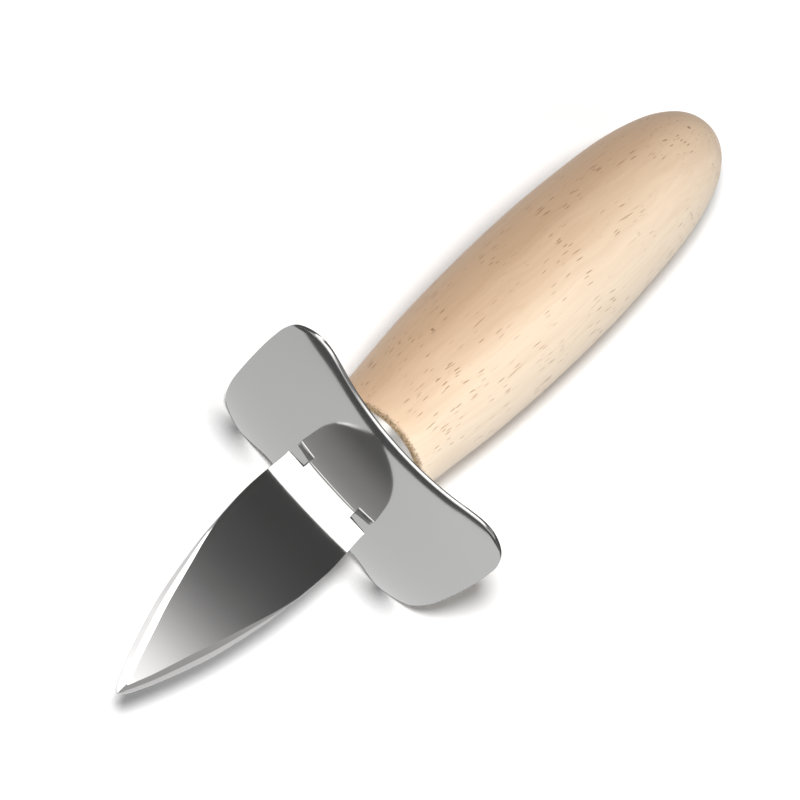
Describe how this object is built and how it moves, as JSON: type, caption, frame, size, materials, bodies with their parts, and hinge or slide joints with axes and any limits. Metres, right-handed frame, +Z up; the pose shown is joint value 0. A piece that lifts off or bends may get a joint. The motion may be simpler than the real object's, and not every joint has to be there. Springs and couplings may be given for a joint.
{
  "type": "oyster knife",
  "caption": "Oyster knife with a short pointed flat blade with ground edges, a wide curved steel hand guard, a steel ferrule and a turned pale wooden handle.",
  "frame": {"origin": "on the table under the knife, at the bottom centre of its bounding box, midway between the tip and the butt", "axes": "+Y along the knife from the tip towards the butt, +X across towards one side lobe of the guard, +Z up from the table"},
  "size_m": [0.056, 0.1728, 0.0366],
  "materials": {
    "blade_steel": "finely ground stainless steel with a soft mirror sheen",
    "guard_steel": "tumbled satin stainless sheet",
    "ferrule_steel": "plain drawn steel tube",
    "beech": "turned and sanded beech, unvarnished, with short dark flecks along the grain",
    "adhesive": "cured amber resin, out of sight"
  },
  "bodies": {
    "root": {"blade": "blade_steel", "hand_guard": "guard_steel", "ferrule": "ferrule_steel", "handle": "beech", "tang_adhesive": "adhesive"}
  },
  "joints": []
}
